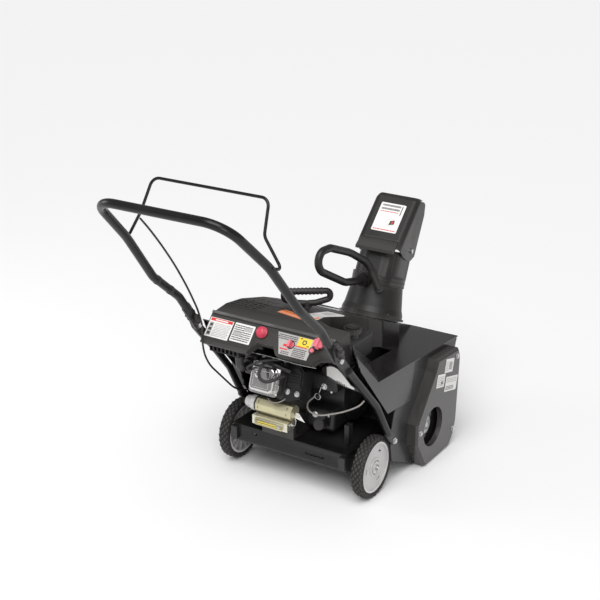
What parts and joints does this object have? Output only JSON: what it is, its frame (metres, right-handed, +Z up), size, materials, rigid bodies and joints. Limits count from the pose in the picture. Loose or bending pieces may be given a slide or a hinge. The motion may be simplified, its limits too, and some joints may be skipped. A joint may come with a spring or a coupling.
{
  "type": "single stage snowblower",
  "caption": "Walk-behind snow thrower with a paddle auger under a moulded hood, a turning discharge chute with a tilting deflector, wheels and a folding handle.",
  "frame": {"origin": "middle of the bounding box at ground level", "axes": "+Z up, -Y the direction of travel (auger mouth), +X the operator's left when standing behind it facing the front"},
  "size_m": [0.6302, 1.3596, 1.0672],
  "materials": {
    "body_black": "glossy moulded black",
    "hood_black": "fine textured black",
    "matte_black": "satin black",
    "black_paint": "semi-gloss black paint",
    "tyre_rubber": "dull black rubber",
    "rim_grey": "light grey moulded",
    "auger_rubber": "dull black rubber",
    "zinc": "bright zinc plated",
    "yellow_zinc": "yellow zinc plated",
    "cast_alloy": "as-cast",
    "stamped_steel": "stamped silver",
    "engine_black": "black paint",
    "red_plastic": "bright red",
    "belt_rubber": "black",
    "label_white": "printed film",
    "trim_metal": "satin metal edge",
    "tank_grey": "translucent black",
    "shave_steel": "worn bare steel"
  },
  "bodies": {
    "chassis": {"auger_bearings": "zinc", "auger_housing": "black_paint", "axle": "zinc", "belt_cover": "body_black", "blower_housing": "engine_black", "carburetor": "cast_alloy", "chute_base_ring": "matte_black", "clutch_cable_lower": "matte_black", "control_panel": "hood_black", "cover_bolts": "zinc", "crankcase": "cast_alloy", "cylinder": "cast_alloy", "cylinder_head": "cast_alloy", "drive_belt": "belt_rubber", "engine_bolts": "zinc", "frame_pan": "black_paint", "fuel_tank": "tank_grey", "handle_bolts": "zinc", "hood": "hood_black", "hood_trim": "trim_metal", "hub_caps": "zinc", "intake_box": "matte_black", "labels_panel": "label_white", "labels_side": "label_white", "lower_handles": "black_paint", "muffler": "engine_black", "oil_cap": "matte_black", "shave_plate": "shave_steel", "side_cover_right": "body_black", "starter_motor": "stamped_steel", "starter_switch_box": "yellow_zinc", "upper_shroud": "body_black", "valve_cover": "stamped_steel"},
    "wheel_left": {"tyre_left": "tyre_rubber", "rim_left": "rim_grey"},
    "wheel_right": {"tyre_right": "tyre_rubber", "rim_right": "rim_grey"},
    "auger": {"auger_shaft": "zinc", "auger_paddles": "auger_rubber", "auger_pulley": "cast_alloy"},
    "crank": {"crankshaft": "shave_steel", "flywheel": "cast_alloy", "drive_pulley": "shave_steel"},
    "chute": {"chute_lower": "matte_black", "chute_upper": "matte_black", "chute_loop": "matte_black", "deflector_bolts": "zinc"},
    "deflector": {"chute_deflector": "matte_black", "label_deflector": "label_white"},
    "handle": {"upper_handle": "black_paint", "lock_knobs": "matte_black", "clutch_cable_upper": "matte_black"},
    "bail": {"bail": "black_paint"},
    "primer": {"primer_bulb": "red_plastic"},
    "start": {"start_button": "red_plastic"},
    "key": {"ignition_key": "red_plastic"},
    "choke": {"choke_knob": "red_plastic"},
    "starter_pull": {"starter_grip": "matte_black", "starter_rope": "belt_rubber"},
    "filler": {"fuel_cap": "matte_black"}
  },
  "joints": [
    {"name": "wheel_left_spin", "type": "hinge", "parent": "chassis", "child": "wheel_left", "pos_m": [0.244, -0.01392, 0.1], "axis": [1, 0, 0], "continuous": true},
    {"name": "wheel_right_spin", "type": "hinge", "parent": "chassis", "child": "wheel_right", "pos_m": [-0.248, -0.01392, 0.1], "axis": [1, 0, 0], "continuous": true},
    {"name": "auger_spin", "type": "hinge", "parent": "chassis", "child": "auger", "pos_m": [-0.002, -0.30692, 0.128], "axis": [1, 0, 0], "continuous": true},
    {"name": "crank_spin", "type": "hinge", "parent": "chassis", "child": "crank", "pos_m": [-0.002, -0.12392, 0.29], "axis": [1, 0, 0], "continuous": true},
    {"name": "chute_turn", "type": "hinge", "parent": "chassis", "child": "chute", "pos_m": [-0.002, -0.43392, 0.405], "axis": [0, -0.3649, 0.9311], "range_deg": [-95, 95]},
    {"name": "deflector_tilt", "type": "hinge", "parent": "chute", "child": "deflector", "pos_m": [0.00426, -0.56225, 0.61033], "axis": [0.9903, 0.1296, 0.0508], "range_deg": [-5, 35]},
    {"name": "handle_fold", "type": "hinge", "parent": "chassis", "child": "handle", "pos_m": [-0.002, 0.19908, 0.536], "axis": [1, 0, 0], "range_deg": [0, 85]},
    {"name": "bail_squeeze", "type": "hinge", "parent": "handle", "child": "bail", "pos_m": [-0.002, 0.51708, 0.905], "axis": [1, 0, 0], "range_deg": [-56, 0], "stiffness_Nm_per_rad": 0.5, "springref_deg": 17.19},
    {"name": "primer_push", "type": "slide", "parent": "chassis", "child": "primer", "axis": [0, -0.7431, -0.6691], "range_m": [0, 0.0035], "stiffness_N_per_m": 900},
    {"name": "start_push", "type": "slide", "parent": "chassis", "child": "start", "axis": [0, -0.7431, -0.6691], "range_m": [0, 0.004], "stiffness_N_per_m": 500},
    {"name": "key_pull", "type": "slide", "parent": "chassis", "child": "key", "axis": [0, 0.7431, 0.6691], "range_m": [0, 0.012]},
    {"name": "choke_turn", "type": "hinge", "parent": "chassis", "child": "choke", "pos_m": [-0.154, 0.13614, 0.53617], "axis": [0, 0.7431, 0.6691], "range_deg": [0, 90]},
    {"name": "rope_pull", "type": "slide", "parent": "chassis", "child": "starter_pull", "axis": [0, 0, 1], "range_m": [0, 0.02], "stiffness_N_per_m": 150},
    {"name": "filler_turn", "type": "hinge", "parent": "chassis", "child": "filler", "pos_m": [-0.137, -0.07792, 0.5], "axis": [0, 0, 1], "range_deg": [0, 90]}
  ],
  "couplings": [
    {"joint": "crank_spin", "follows": "auger_spin", "ratio": 2.226}
  ]
}
